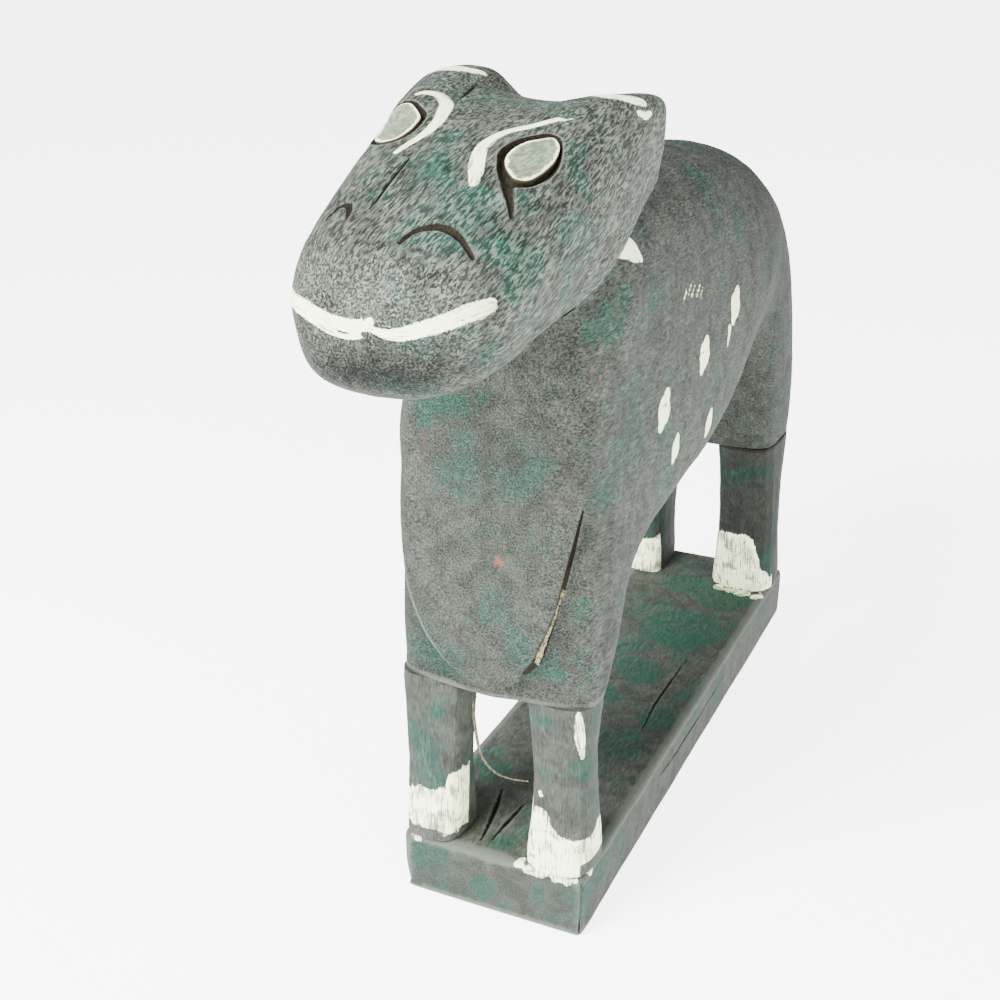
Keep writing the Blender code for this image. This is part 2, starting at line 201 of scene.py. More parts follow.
# Where the surface is made lighter or darker: (centre, (radius x, y, z), how much). On the head the strong
# darkening under the chin is painted shade; the muzzle is painted paler.
HEAD_SHADE_AND_TONES = [
    ((-6, -228, 284), (24, 12, 11), 0.06), ((0, -230, 254), (38, 22, 12), -0.80),
    ((-5, -188, 308), (34, 18, 14), -0.10), ((38, -170, 280), (12, 40, 22), -0.02),
    ((12, -232, 278), (12, 6, 6), 0.1),
]
# On the body the darkening low at the rear, above the hind legs, is painted shade; the body is also darker
# over the rump, and lighter or darker in patches elsewhere.
TORSO_SHADE_AND_TONES = [
    ((20, 120, 240), (60, 100, 60), -0.50), ((25, 140, 130), (60, 50, 60), -0.30),
    ((30, -120, 235), (25, 40, 40), 0.02), ((0, -165, 200), (26, 10, 24), 0.05),
    ((0, -162, 120), (40, 10, 24), -0.14), ((8, -160, 228), (34, 20, 16), 0.30),
    ((39, -140, 245), (12, 22, 22), 0.22), ((41, -60, 175), (14, 70, 26), 0.22),
    ((30, -158, 175), (10, 10, 20), 0.08),
]
# A painted shadow of the body on the plinth's top
PLINTH_PAINTED_SHADOW = [((-10, -80, 28), (22, 34, 8), -0.225)]
# Gouged lines that stand for the splits of the plinth
PLINTH_SPLITS = [
    (1.6, [(-15, -112, 28.5, 0.4), (-12, -124, 28.5, 1.0), (-9, -140, 28.5, 0.7), (-8, -148, 28.5, 0.3)]),
    (1.4, [(-2, -118, 28.5, 0.4), (-3, -130, 28.5, 0.9), (-4, -146, 28.5, 0.4)]),
    (1.0, [(24, -40, 28.5, 0.3), (22, -10, 28.5, 0.7), (23, 30, 28.5, 0.3)]),
    (0.8, [(39.5, -154.5, 27, 0.4), (39.8, -155, 15, 0.8), (39, -155, 3, 0.5)]),
    (0.9, [(40, -60, 19, 0.3), (40, -20, 17, 0.6), (40, 40, 18, 0.3)]),
]
# Cream paint spilt from the feet: (centre, radius)
PLINTH_SPILLS = [
    ((12, -154.5, 28), 3.4), ((17, -155, 28), 3.0), ((22, -155.5, 27.5), 4.2), ((27, -155.5, 27.5), 3.6),
    ((32, -155.5, 27.5), 3.6), ((37, -154, 28), 2.5), ((-34, -155, 27.5), 3.0), ((-24, -155.5, 28), 1.6),
    ((40, -146, 28), 2.4), ((14, 116, 28.5), 4.5), ((20, 115.5, 28.5), 4.0), ((26, 115, 28.5), 4.5),
    ((31, 114.5, 28.5), 3.8), ((35, 114, 28.5), 3.6), ((38, 117, 28), 2.5),
]
# The plinth's corner that is rounded off most
WORN_CORNER = np.array((-40, -155.5, 0))
# The middle of a splinter that hangs off the inner edge of the right front leg
SPLINTER = [
    (-13.4, -145, 103), (-13.6, -143.5, 92), (-13.2, -141, 76), (-12, -138, 62), (-8, -134, 53),
    (-2, -131, 49.5), (5, -129, 49),
]

# Each piece's first even mesh: (edge length in millimetres, rounds of smoothing)
EVEN = {"head": (0.92, 26), "torso": (1.45, 34), "leg": (0.7, 40), "plinth": (1.25, 14), "filler": (0.3, 6)}

# How much the bumps and arrises of each piece are rubbed pale
WEAR = {"head": 0.65, "torso": 0.3, "front": 0.8, "hind": 0.4, "plinth": 0.8}

# Joints: (a point, the normal, the pieces it is for, half its glue line)
FRONT = (np.array((0, 0, FRONT_JOINT)), np.array((0, 0, 1.0)), lambda y: y < 0, 0.03)
HIND = (np.array((0, 0, HIND_JOINT)), np.array((0, 0, 1.0)), lambda y: y > 0, 0.15)
NECK = (NECK_POINT, NECK_NORMAL, lambda y: y < 0, 0.12)
SOLE = (np.array((0, 0, 28.65)), np.array((0, 0, 1.0)), lambda y: True, 0.15)


# --- numbers -------------------------------------------------------------------------------


def lattice(cell, seed):
    n = cell[..., 0] * 73856093 ^ cell[..., 1] * 19349663 ^ cell[..., 2] * 83492791 ^ seed * 40503
    n = (n ^ n >> 13) * 1274126177 & 0xFFFFFFFF
    return ((n ^ n >> 16) & 0xFFFF) / 32767.5 - 1


def noise(points, size, seed):
    """Smooth noise from -1 to 1 with features of about the given size."""
    p = points / size
    cell = np.floor(p).astype(np.int64)
    f = p - cell
    f = f * f * (3 - 2 * f)
    total = 0
    for corner in np.ndindex(2, 2, 2):
        weight = np.prod(np.where(corner, f, 1 - f), axis=1)
        total = total + weight * lattice(cell + corner, seed)
    return total


def step(low, high, value):
    t = np.clip((value - low) / (high - low), 0, 1)
    return t * t * (3 - 2 * t)


def curve_through(points, spacing=0.6, closed=False):
    """Even points along a smooth curve through the given ones."""
    p = np.array(points, float)
    if closed:
        p = np.vstack((p[-1], p, p[:2]))
    else:
        p = np.vstack((2 * p[0] - p[1], p, 2 * p[-1] - p[-2]))
    out = []
    for a, b, c, d in zip(p, p[1:], p[2:], p[3:]):
        count = max(int(np.linalg.norm(c - b) / spacing), 2)
        t = np.linspace(0, 1, count, endpoint=False)[:, None]
        square, cube = 2 * a - 5 * b + 4 * c - d, 3 * b - a - 3 * c + d
        out.append(0.5 * (2 * b + (c - a) * t + square * t**2 + cube * t**3))
    out.append(out[0][:1] if closed else p[-2][None])
    return np.vstack(out)


def nearest(points, line, reach):
    """(distance, length along, nearest point, half width there) of a line, for points within reach of it."""
    far = np.full(len(points), 1e3)
    along = np.zeros(len(points))
    foot = np.zeros((len(points), 3))
    half = np.zeros(len(points))
    xyz = line[:, :3]
    near = np.all((points > xyz.min(0) - reach) & (points < xyz.max(0) + reach), axis=1)
    some = np.nonzero(near)[0]
    if not len(some):
        return far, along, foot, half
    q = points[some]
    best = np.full(len(some), 1e6)
    length = 0.0
    for a, b in zip(line, line[1:]):
        ab = b[:3] - a[:3]
        size = np.linalg.norm(ab)
        t = np.clip((q - a[:3]) @ ab / max(size * size, 1e-9), 0, 1)
        spot = a[:3] + t[:, None] * ab
        d = np.linalg.norm(q - spot, axis=1)
        closer = d < best
        best[closer] = d[closer]
        along[some[closer]] = length + t[closer] * size
        foot[some[closer]] = spot[closer]
        if len(a) > 3:
            half[some[closer]] = a[3] + t[closer] * (b[3] - a[3])
        length += size
    far[some] = best
    return far, along, foot, half


def inside_outline(flat, outline):
    """How far points of a plane lie inside a closed outline, negative outside it."""
    best = np.full(len(flat), 1e6)
    inside = np.zeros(len(flat), bool)
    for a, b in zip(outline, outline[1:]):
        ab = b - a
        t = np.clip((flat - a) @ ab / max(ab @ ab, 1e-9), 0, 1)
        best = np.minimum(best, np.linalg.norm(flat - a - t[:, None] * ab, axis=1))
        spans = (a[1] > flat[:, 1]) != (b[1] > flat[:, 1])
        if abs(ab[1]) > 1e-9:
            inside ^= spans & (flat[:, 0] < a[0] + (flat[:, 1] - a[1]) * ab[0] / ab[1])
    return np.where(inside, best, -best)


# --- meshes --------------------------------------------------------------------------------


def points_of(mesh):
    co = np.empty(len(mesh.vertices) * 3, np.float32)
    mesh.vertices.foreach_get("co", co)
    return co.reshape(-1, 3).astype(float) / MM


def set_points(mesh, points):
    mesh.vertices.foreach_set("co", (points * MM).astype(np.float32).ravel())
    mesh.update()


def normals_of(mesh):
    no = np.empty(len(mesh.vertices) * 3, np.float32)
    mesh.vertex_normals.foreach_get("vector", no)
    return no.reshape(-1, 3).astype(float)


def edges_of(mesh):
    e = np.empty(len(mesh.edges) * 2, np.int32)
    mesh.edges.foreach_get("vertices", e)
    return e.reshape(-1, 2)


def averages(points, edges):
    n = len(points)
    count = np.bincount(edges.ravel(), minlength=n)[:, None]
    total = np.empty_like(points)
    for k in range(points.shape[1]):
        total[:, k] = np.bincount(edges[:, 0], points[edges[:, 1], k], n)
        total[:, k] += np.bincount(edges[:, 1], points[edges[:, 0], k], n)
    return total / np.maximum(count, 1)


def relax(mesh, rounds, weight=1.0):
    points, edges = points_of(mesh), edges_of(mesh)
    weight = np.broadcast_to(np.asarray(weight, float).reshape(-1, 1), (len(points), 1))
    for k in range(rounds):
        pull = 0.6 if k % 2 == 0 else -0.55
        points = points + pull * weight * (averages(points, edges) - points)
    set_points(mesh, points)


def add_object(name, mesh):
    obj = bpy.data.objects.new(name, mesh)
    bpy.context.scene.collection.objects.link(obj)
    return obj


def voxel_mesh(mesh, size):
    obj = add_object("voxels", mesh)
    modifier = obj.modifiers.new("Even", "REMESH")
    modifier.mode = "VOXEL"
    modifier.voxel_size = size * MM
    graph = bpy.context.evaluated_depsgraph_get()
    made = bpy.data.meshes.new_from_object(obj.evaluated_get(graph))
    bpy.data.objects.remove(obj)
    return made


def largest_island(bm):
    """Drops all but the largest connected skin."""
    left = set(bm.verts)
    islands = []
    while left:
        stack = [left.pop()]
        island = set(stack)
        while stack:
            for edge in stack.pop().link_edges:
                for vert in edge.verts:
                    if vert in left:
                        left.discard(vert)
                        island.add(vert)
                        stack.append(vert)
        islands.append(island)
    islands.sort(key=len)
    bmesh.ops.delete(bm, geom=[v for island in islands[:-1] for v in island], context="VERTS")


def cut_at(bm, joint, side, setback):
    """Cuts the skin at a joint's plane, less a setback, and returns the edges of the cut."""
    spot, normal, region = joint[:3]
    faces = [f for f in bm.faces if all(region(v.co.y) for v in f.verts)]
    geom = list({v for f in faces for v in f.verts}) + list({e for f in faces for e in f.edges}) + faces
    out = Vector(normal) * side
    place = Vector(spot) * MM - out * setback * MM
    made = bmesh.ops.bisect_plane(
        bm, geom=geom, dist=1e-7, plane_co=place, plane_no=out, clear_outer=True
    )
    return [e for e in made["geom_cut"] if isinstance(e, bmesh.types.BMEdge)]


def run_on(bm, joint, side):
    """Extends the skin past a joint where it was cut, and closes its end."""
    spot, normal, region = joint[:3]
    out = Vector(normal) * side
    level = Vector(spot) * MM - out * SKIN_SETBACK * MM

    def on_cut(vert):
        return region(vert.co.y) and abs((vert.co - level).dot(out)) < 1e-5

    rim = [e for e in bm.edges if e.is_boundary and all(on_cut(v) for v in e.verts)]
    made = bmesh.ops.extrude_edge_only(bm, edges=rim)["geom"]
    verts = [v for v in made if isinstance(v, bmesh.types.BMVert)]
    bmesh.ops.translate(bm, verts=verts, vec=out * SKIN_OVERRUN * MM)
    bmesh.ops.holes_fill(bm, edges=[e for e in made if isinstance(e, bmesh.types.BMEdge)], sides=0)


def mesh_of(bm, name):
    bmesh.ops.recalc_face_normals(bm, faces=bm.faces)
    mesh = bpy.data.meshes.new(name)
    bm.to_mesh(mesh)
    bm.free()
    return mesh


def skin_of(node, joints, pockets=()):
    """A node's outer skin, run on past its sawn joints, with its dowel holes and pockets closed over."""
    bm = bmesh.new()
    bm.from_mesh(nodes[node].data)
    bmesh.ops.remove_doubles(bm, verts=bm.verts, dist=1e-6)
    for joint, side in joints:
        cut_at(bm, joint, side, SKIN_SETBACK)
    largest_island(bm)
    for joint, side in joints:
        run_on(bm, joint, side)
    for inside in pockets:
        gone = [f for f in bm.faces if all(inside(np.array(v.co) / MM) for v in f.verts)]
        bmesh.ops.delete(bm, geom=gone, context="FACES")
        bmesh.ops.holes_fill(bm, edges=[e for e in bm.edges if e.is_boundary], sides=0)
    bmesh.ops.triangulate(bm, faces=[f for f in bm.faces if len(f.verts) > 4])
    return mesh_of(bm, "skin")


def sawn(mesh, joints):
    """Cuts a carved piece off flat at its joints."""
    bm = bmesh.new()
    bm.from_mesh(mesh)
    for joint, side in joints:
        bmesh.ops.holes_fill(bm, edges=cut_at(bm, joint, side, joint[3]), sides=0)
    bmesh.ops.triangulate(bm, faces=[f for f in bm.faces if len(f.verts) > 4])
    bm.to_mesh(mesh)
    bm.free()


def refine(mesh, close, rounds=1):
    """Splits the edges whose points pass the test, for finer detail there."""
    for _ in range(rounds):
        mask = close(points_of(mesh))
        bm = bmesh.new()
        bm.from_mesh(mesh)
        chosen = [e for e in bm.edges if mask[e.verts[0].index] and mask[e.verts[1].index]]
        bmesh.ops.subdivide_edges(bm, edges=chosen, cuts=1, use_grid_fill=True)
        bmesh.ops.triangulate(bm, faces=[f for f in bm.faces if len(f.verts) > 4])
        bm.to_mesh(mesh)
        bm.free()


def store(mesh, name, values):
    layer = mesh.attributes.new(name, "FLOAT", "POINT")
    layer.data.foreach_set("value", np.asarray(values, np.float32))


def push(mesh, depth):
    points, normals = points_of(mesh), normals_of(mesh)
    set_points(mesh, points - normals * np.asarray(depth)[:, None])


def gouged(points, gouges):
    """Depth cut by the gouged lines, and the painted shade in each."""
    depth = np.zeros(len(points))
    shade = np.zeros(len(points))
    for deep, line in gouges:
        d, _, _, half = nearest(points, curve_through(line), 6)
        wide = np.maximum(half, 0.05)
        widest = max(p[3] for p in line)
        section = np.clip(1 - d / (wide * 1.15), 0, 1) ** 0.8
        depth = np.maximum(depth, deep * (wide / widest) ** 0.7 * section)
        shade = np.maximum(shade, 1 - step(0.5, 1.1, d / wide))
    return depth, shade


def brushed(points, normals, strokes, bare):
    """(inside distance, length along, distance across) of the nearest brush stroke."""
    inside = np.full(len(points), -50.0)
    along = np.zeros(len(points))
    across = np.zeros(len(points))
    for k, stroke in enumerate(strokes):
        path = curve_through(stroke)
        run = np.concatenate(([0], np.cumsum(np.linalg.norm(np.diff(path[:, :3], axis=0), axis=1))))
        d, u, foot, half = nearest(points, path, 12)
        ahead = np.clip(np.searchsorted(run, u), 1, len(path) - 1)
        side = np.cross((path[ahead] - path[ahead - 1])[:, :3], normals)
        v = d * np.sign(np.einsum("ij,ij->i", points - foot, side))
        depth = half - d
        better = depth > inside
        inside[better] = depth[better]
        along[better] = u[better] + 37 * k
        across[better] = v[better]
    for line in bare:
        d, _, _, half = nearest(points, curve_through(line), 4)
        inside = np.minimum(inside, np.where(d < 50, (d - half) * 2.5, 50))
    return inside, along, across


def patches(points, blobs):
    near = np.full(len(points), -30.0)
    for centre, radius in blobs:
        near = np.maximum(near, radius - np.linalg.norm(points - np.array(centre), axis=1))
    return near


def glow(points, blobs):
    """A smooth tone from soft blobs: (centre, (radius x, y, z), amount)."""
    total = np.zeros(len(points))
    for centre, radius, amount in blobs:
        total += amount * np.exp(-(((points - np.array(centre)) / np.array(radius)) ** 2).sum(1))
    return total


def edge_wear(mesh, rounds):
    """Positive on ridges and negative in hollows, from how far a smoothed copy falls inside."""
    points, edges, normals = points_of(mesh), edges_of(mesh), normals_of(mesh)
    smooth = points
    for _ in range(rounds):
        smooth = averages(smooth, edges)
    return np.einsum("ij,ij->i", points - smooth, normals)


def put_in_place(mesh, name, node, finish):
    mesh.materials.clear()
    mesh.materials.append(finish)
    mesh.polygons.foreach_set("use_smooth", [True] * len(mesh.polygons))
    mesh.set_sharp_from_angle(angle=math.radians(62))
    obj = add_object(name, mesh)
    if node:
        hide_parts(node)
    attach(obj, "root")


def join_rings(bm, rings):
    """Quads between each ring of points and the next."""
    for lower, upper in zip(rings, rings[1:]):
        for i in range(len(lower)):
            j = (i + 1) % len(lower)
            bm.faces.new((lower[i], lower[j], upper[j], upper[i]))


def finish_piece(mesh, node, finish, joints, greens, dark, painted_light_and_tone, strokes=(), bare=(), cream=None, rub_and_highlight=0):
    """Stores what the finish reads, saws the joints, and puts the piece in the place of its CAD node."""
    points, normals = points_of(mesh), normals_of(mesh)
    inside, along, across = brushed(points, normals, strokes, bare)
    if cream is not None:
        splash = cream(points)
        more = splash > inside
        inside = np.where(more, splash, inside)
        along = np.where(more, points[:, 2], along)
        across = np.where(more, points[:, 0] + points[:, 1], across)
    push(mesh, -CREAM_THICKNESS * step(-0.6, 0.8, inside))
    store(mesh, "cream", inside)
    store(mesh, "thin", step(-18, -2, inside) * (cream is not None))
    store(mesh, "cream_u", along)
    store(mesh, "cream_v", across)
    store(mesh, "green", patches(points, greens))
    store(mesh, "speck", patches(points, TORSO_SPECKS if node == "torso" else ()))
    # dark: painted shade in the gouged hollows and cracks, and the dark glue line at the hind joints
    store(mesh, "dark", dark)
    store(mesh, "painted_light_and_tone", painted_light_and_tone)
    store(mesh, "wear_and_highlight", WEAR[node.split("_")[0]] * edge_wear(mesh, 6) + rub_and_highlight)
    sawn(mesh, joints)
    put_in_place(mesh, node + "_carved", node, finish)


# --- carving -------------------------------------------------------------------------------


def hand_unevenness(points, amount=0.6):
    swell, dent, ripple = noise(points, 21, 31), noise(points, 9, 32), noise(points, 3.4, 33)
    return amount * (swell * 0.6 + dent * 0.32 + ripple * 0.12)


class Eye:
    """A leaf-shaped eye inside a gouged ring: their outlines on a tilted plane, in millimetres."""

    def __init__(self, centre, normal, along, leaf, ring):
        self.centre = np.array(centre, float)
        self.n = np.array(normal, float) / np.linalg.norm(normal)
        a = np.array(along, float)
        a -= a @ self.n * self.n
        self.a = a / np.linalg.norm(a)
        self.b = np.cross(self.n, self.a)
        self.leaf = curve_through(leaf, 0.5, True)
        self.ring = curve_through(ring, 0.5, True)

    def flat(self, points):
        d = points - self.centre
        return np.stack((d @ self.a, d @ self.b), 1), d @ self.n

    def measure(self, points):
        """(inside the leaf, inside the ring, near enough to matter)."""
        flat, height = self.flat(points)
        near = (np.abs(height) < 12) & (np.abs(flat).max(1) < 24)
        leaf = np.full(len(points), -30.0)
        ring = np.full(len(points), -30.0)
        leaf[near] = inside_outline(flat[near], self.leaf)
        ring[near] = inside_outline(flat[near], self.ring)
        return leaf, ring, near


LEFT_EYE = Eye(
    (24, -175.3, 311.4), (0.27, -0.36, 0.89), (0.7, 0.7, 0.1),
    [
        (-8.3, 0.2), (-6.2, 3.3), (-3.0, 5.7), (1, 7.2), (5, 7.1), (9.4, 6.6), (10.5, 4.6), (9.9, 1.2),
        (6.9, -3.0), (3, -6.3), (-1, -9.0), (-4.8, -10.9), (-7.6, -10.5), (-9.4, -8.6), (-9.5, -4),
    ],
    [
        (-10.7, 1.0), (-9.2, 4.5), (-5.5, 8.1), (-0.3, 10.2), (4, 10.4), (9, 10.0), (12.2, 7.0),
        (11.8, 2.8), (9.6, -2.2), (7, -6.2), (3, -10), (-1.5, -12.4), (-6, -13.8), (-10.6, -13.4),
        (-13.1, -11.3), (-13.5, -7.5), (-12.4, -3),
    ],
)
RIGHT_EYE = Eye(
    (-30, -160.5, 316.6), (-0.30, -0.33, 0.89), (0.27, 0.87, 0.41),
    [
        (8.8, 0.5), (5.3, -4.6), (2.2, -7.2), (-3.5, -9.6), (-9, -10.2), (-12.3, -8.4), (-13.4, -4.5),
        (-11.4, 0.5), (-7, 5), (-1, 8.2), (5, 9.4), (9.6, 8.8), (11, 5),
    ],
    [
        (10.8, 0), (7.2, -6), (3.2, -8.8), (-3.5, -11.4), (-9.8, -12), (-14, -9.8), (-15.2, -4.5),
        (-13, 1.6), (-8.2, 6.6), (-1.6, 10), (5.6, 11.4), (11.2, 10.4), (13, 5),
    ],
)
EYES = (LEFT_EYE, RIGHT_EYE)


def eye_pocket(eye, floor):
    """A test for points on the inside of an eye's oval pocket in the CAD head."""
    along = np.array((0, -1.0, 0))
    along = along - along @ eye.n * eye.n
    along /= np.linalg.norm(along)
    across = np.cross(eye.n, along)

    def inside(p):
        d = p - np.array(floor)
        return math.hypot(d @ along / 10.3, d @ across / 8.1) < 1.02 and abs(d @ eye.n) < 6

    return inside


def eye_trough(points, eye):
    """Depth of the trough round an eye and of the bed that the eye lies in, and the painted shade inside the
    ring.
    """
    leaf, ring, near = eye.measure(points)
    way = np.clip(-leaf / np.maximum(ring - leaf, 0.2), 0, 1)
    trough = 2.5 * np.sin(math.pi * way**0.85) ** 0.8
    bed = 2.2 * step(-0.5, 0.5, leaf)
    depth = np.where(near & (ring > 0), np.maximum(trough, bed), 0)
    return depth, np.where(near, step(-0.5, 0.45, ring), 0)


def head_detail(points):
    """Tests for points beside a gouged line or in an eye's trough."""
    close = np.zeros(len(points), bool)
    for _, line in HEAD_GOUGES:
        close |= nearest(points, curve_through(line, 2.0), 4)[0] < 3.2
    for eye in EYES:
        leaf, ring, near = eye.measure(points)
        close |= near & (leaf < 2.0) & (ring > -1.6)
    return close


def even_mesh(node, kind, joints, pockets=()):
    size, rounds = EVEN[kind]
    mesh = voxel_mesh(skin_of(node, joints, pockets), size)
    relax(mesh, rounds)
    return mesh


def carve_head(finish):
    """Carves the head, and returns its skin before any gouging, which the eyes follow."""
    joints = [(NECK, -1)]
    pockets = [
        eye_pocket(LEFT_EYE, (23.5, -175.5, 308.5)),
        eye_pocket(RIGHT_EYE, (-30, -160.5, 314.2)),
    ]
    mesh = even_mesh("head", "head", joints, pockets)
    # The left cheek bulges out over the neck
    points = points_of(mesh)
    rise = (points - NECK_POINT) @ NECK_NORMAL
    points[:, 0] += 1.2 * step(18, 0, rise) * step(18, 34, points[:, 0]) * step(-160, -140, points[:, 1])
    set_points(mesh, points)
    plain = mesh.copy()

    refine(mesh, head_detail)
    points = points_of(mesh)
    cut, dark = gouged(points, HEAD_GOUGES)
    for eye in EYES:
        trough, shade = eye_trough(points, eye)
        cut = np.maximum(cut, trough)
        dark = np.maximum(dark, shade)
    push(mesh, hand_unevenness(points) + cut - glow(points, HEAD_SWELLS))

    points = points_of(mesh)
    rub_and_highlight = 0.25 * step(8, 0, np.abs(points[:, 1] + 94)) * step(-20, -46, points[:, 0])
    painted_light_and_tone = glow(points, HEAD_SHADE_AND_TONES)
    finish_piece(mesh, "head", finish, joints, HEAD_GREENS, dark, painted_light_and_tone, HEAD_STROKES, HEAD_BARE, rub_and_highlight=rub_and_highlight)
    return plain


CRACK_PATH = curve_through(CHEST_CRACK)
BIB_PATH = curve_through(BIB_EDGE)


def crack_pocket(p):
    """Tests for a point on the inside of the slot that the CAD filler sits in."""
    middle = np.interp(p[2], (126, 158), (21.5, 31))
    return 124.3 < p[2] < 160 and -165.4 < p[1] < -153 and abs(p[0] - middle) < 3.6


def torso_detail(points):
    """Tests for points beside the crack or the edge of the breast."""
    by_crack = nearest(points, CRACK_PATH, 5)[0] < 4
    return by_crack | (nearest(points, BIB_PATH, 5)[0] < 3.5)


def meet_neighbours(mesh):
    """Brings the breast flush with the left front leg, and narrows the neck under the left cheek."""
    points = points_of(mesh)
    low = step(130, 106, points[:, 2]) * step(-148, -156, points[:, 1])
    points[:, 1] += low * (1.4 + 2.1 * step(0, 16, points[:, 0]))
    rise = (points - NECK_POINT) @ NECK_NORMAL
    points[:, 0] -= 2.4 * step(-30, -1, rise) * step(18, 34, points[:, 0]) * step(-90, -105, points[:, 1])
    set_points(mesh, points)


def beyond(points, edge, side):
    """Tests for points of the chest past an edge of the breast, towards the given side in x."""
    upward = edge[::-1]
    x = np.interp(points[:, 2], [p[2] for p in upward], [p[0] for p in upward])
    return (points[:, 1] < CHEST_BACK) & ((points[:, 0] - x) * side > 0)


def fall_away(away, start, depth, level, fade):
    """A drop just past an edge, held as far as the level distance and then fading out."""
    return step(0, start, away) * depth * np.exp(-np.clip(away - level, 0, None) / fade)


def carve_torso(finish):
    joints = [(NECK, 1), (FRONT, -1), (HIND, -1)]
    mesh = even_mesh("torso", "torso", joints, [crack_pocket])
    meet_neighbours(mesh)
    refine(mesh, torso_detail, 2)

    # The breast stands out from the shoulders along its lower edges
    points = points_of(mesh)
    z = points[:, 2]
    cut, dark = gouged(points, [(2.8, CHEST_CRACK)])
    front = points[:, 1] < CHEST_BACK
    past_bib, from_bib = beyond(points, BIB_EDGE, -1), nearest(points, BIB_PATH, 30)[0]
    past_crack, from_crack = beyond(points, CHEST_CRACK, 1), nearest(points, CRACK_PATH, 24)[0]
    cut = cut + past_bib * fall_away(from_bib, 4.5, 2.8, 6, 16) * step(212, 180, z) * step(104, 112, z)
    cut = cut + past_crack * fall_away(from_crack, 3.5, 2.2, 4, 10) * step(200, 178, z) * step(104, 114, z)
    push(mesh, hand_unevenness(points) + cut)

    points = points_of(mesh)
    x, y, z = points.T
    painted_light_and_tone = glow(points, TORSO_SHADE_AND_TONES)
    # Painted shade in the recesses beside the breast's left edge and beside the crack, and a painted
    # highlight along the right front edge of the chest
    painted_light_and_tone = painted_light_and_tone - 0.36 * past_bib * step(0.3, 2.5, from_bib) * np.exp(-from_bib / 16) * step(214, 190, z)
    painted_light_and_tone = painted_light_and_tone - 0.28 * past_crack * step(0.3, 2.0, from_crack) * np.exp(-from_crack / 7) * step(200, 180, z)
    painted_light_and_tone = painted_light_and_tone + 0.30 * step(-140, -150, y) * np.exp(-(((x - 41) / 4) ** 2)) * step(170, 150, z)
    # Pale lines along the breast's left ridge and the chest's lower front edge: a painted highlight where
    # these edges catch the light, and rubbed paint
    rub_and_highlight = 0.20 * step(1.1, 0.2, from_bib) * step(158, 146, z)
    rub_and_highlight = rub_and_highlight + 0.16 * front * step(3.2, 1.2, z - FRONT_JOINT)
    finish_piece(mesh, "torso", finish, joints, TORSO_GREENS, dark, painted_light_and_tone, TORSO_STROKES, TORSO_BARE, rub_and_highlight=rub_and_highlight)


def foot_paint(top, bottom, seed, faces):
    """Cream paint between two ragged heights, on the faces that the test allows."""

    def cover(points):
        ragged = 3.2 * noise(points, 7, seed) + 1.8 * noise(points, 2.6, seed + 1)
        above = np.interp(points[:, 0], [t[0] for t in top], [t[1] for t in top]) - points[:, 2]
        below = points[:, 2] - bottom
        return np.where(faces(points), (np.minimum(above, below + 1.5) + ragged) * 0.45, -20)

    return cover


def carve_leg(node, finish, joint, painted_light_and_tone, cream, strokes):
    joints = [(joint, 1), (SOLE, -1)]
    mesh = even_mesh(node, "leg", joints)
    push(mesh, hand_unevenness(points_of(mesh)))
    height = points_of(mesh)[:, 2]
    dark = 0.8 * step(1.6, 0.5, np.abs(height - (HIND_JOINT - 0.8))) * (joint is HIND)
    shade = painted_light_and_tone + 0.25 * step(60, 40, height)
    finish_piece(mesh, node, finish, joints, LEG_GREENS, dark, shade, strokes, cream=cream)


def plinth_detail(points):
    """Tests for points beside a split."""
    return np.min([nearest(points, curve_through(s[1], 3), 4)[0] for s in PLINTH_SPLITS], axis=0) < 2.4


def plinth_spill(points):
    return patches(points, PLINTH_SPILLS) + 1.8 * noise(points, 2.6, 5) - 0.6


def carve_plinth(finish):
    size, rounds = EVEN["plinth"]
    mesh = voxel_mesh(skin_of("plinth", []), size)
    relax(mesh, rounds, np.where(points_of(mesh)[:, 2] < 1.0, 0, 1))
    refine(mesh, plinth_detail)
    points = points_of(mesh)
    from_corner = np.linalg.norm((points - WORN_CORNER) * (1, 1, 0.8), axis=1)
    worn = 2.0 * np.exp(-((from_corner / 7) ** 2))
    cut, dark = gouged(points, PLINTH_SPLITS)
    # The underside stays flat
    push(mesh, (hand_unevenness(points, 0.45) + worn + cut) * step(0.2, 2.5, points[:, 2]))
    # Painted light: the plinth's top is made much lighter, and its front and right side a little lighter, by
    # the way they face, and a painted shadow of the body falls on the top.
    facing = normals_of(mesh)
    painted_light_and_tone = 0.42 * step(0.5, 0.9, facing[:, 2]) + 0.10 * step(0.6, 0.9, -facing[:, 1])
    painted_light_and_tone = painted_light_and_tone + 0.12 * step(0.6, 0.9, facing[:, 0]) + glow(points_of(mesh), PLINTH_PAINTED_SHADOW)
    finish_piece(mesh, "plinth", finish, [], PLINTH_GREENS, dark, painted_light_and_tone, cream=plinth_spill)


